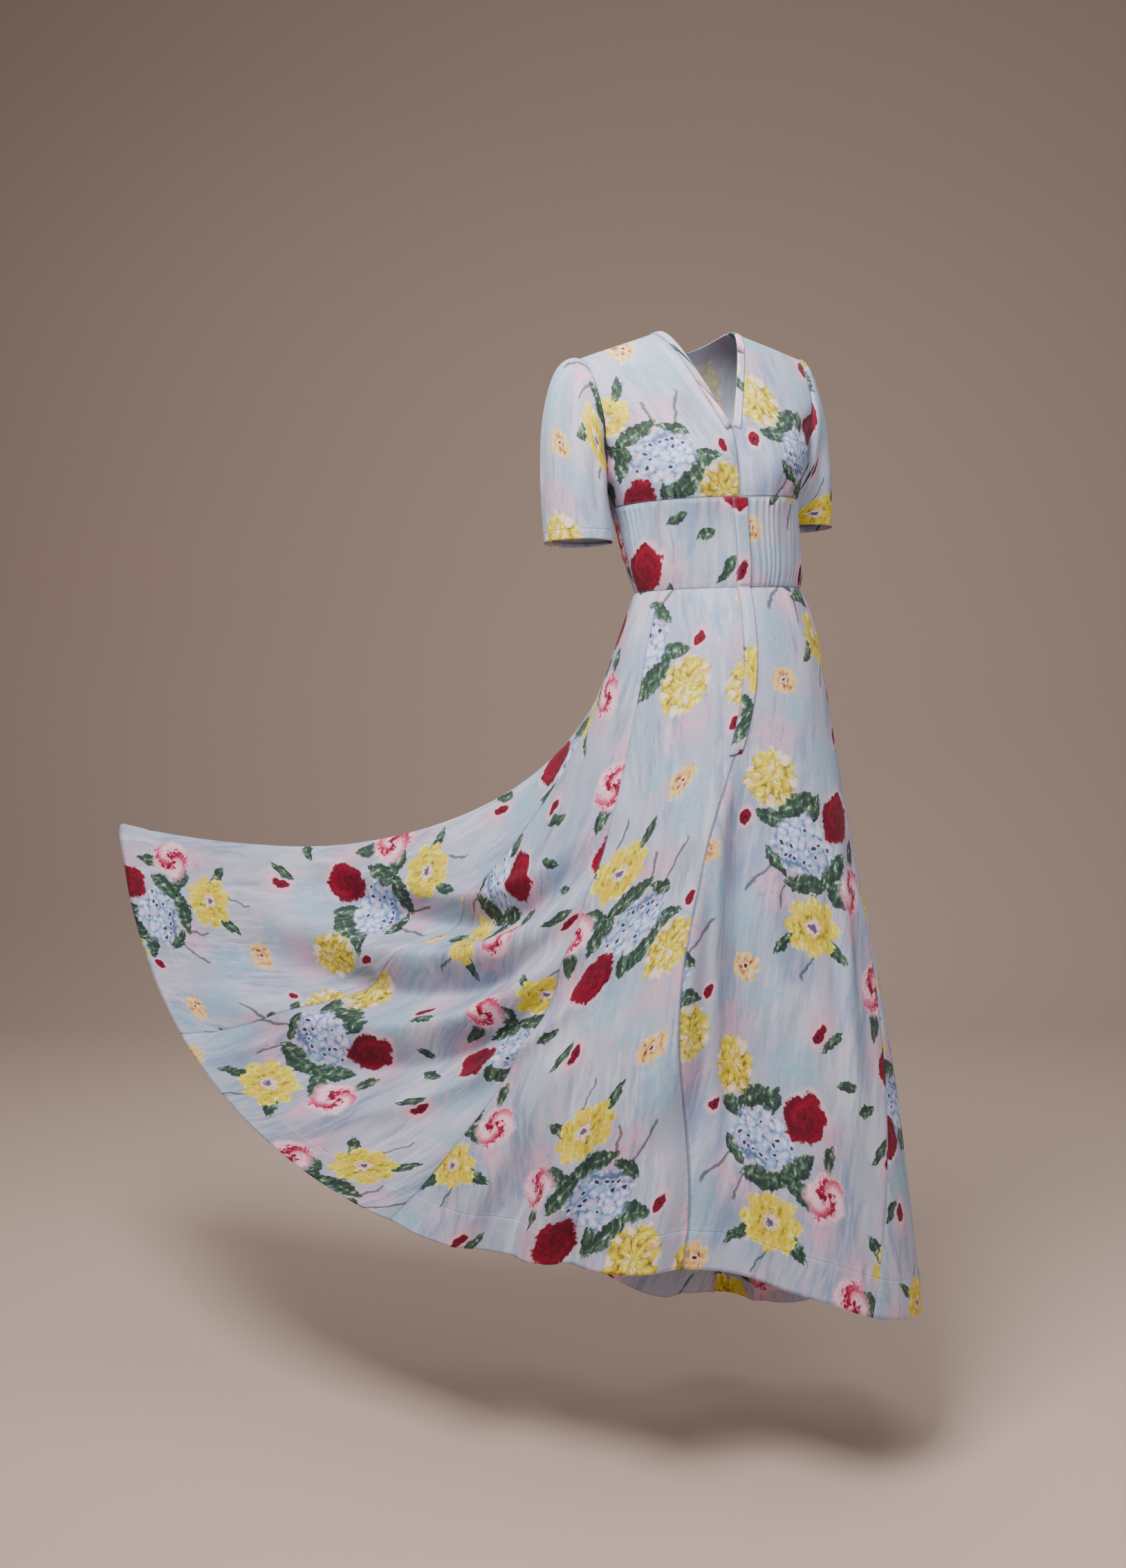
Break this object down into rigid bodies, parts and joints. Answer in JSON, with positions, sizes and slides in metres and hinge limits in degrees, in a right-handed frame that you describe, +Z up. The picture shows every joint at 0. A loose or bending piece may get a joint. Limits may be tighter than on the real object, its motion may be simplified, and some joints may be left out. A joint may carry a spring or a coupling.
{
  "type": "hostess gown, hollow as when worn",
  "caption": "Long V-neck hostess gown with short set-in sleeves, a gathered midriff and a six-gore skirt swung out to the wearer's right, hollow as when worn.",
  "frame": {"origin": "middle of the neck opening, level with the side neck points, where the wearer's shoulders hold the gown up", "axes": "+Z up, the gown faces -Y, +X is the wearer's left"},
  "size_m": [1.0105, 0.9212, 1.446],
  "materials": {
    "printed_cloth": "soft matt woven cloth with a brushed floral print"
  },
  "bodies": {
    "root": {"bodice_front_right": "printed_cloth", "bodice_front_left": "printed_cloth", "bodice_back": "printed_cloth", "neck_band": "printed_cloth", "midriff_front_right": "printed_cloth", "midriff_front_left": "printed_cloth", "front_lap": "printed_cloth", "sleeve_right": "printed_cloth", "sleeve_left": "printed_cloth", "skirt_front_right": "printed_cloth", "skirt_side_right": "printed_cloth", "skirt_back_right": "printed_cloth", "skirt_back_left": "printed_cloth", "skirt_side_left": "printed_cloth", "skirt_front_left": "printed_cloth"}
  },
  "joints": []
}
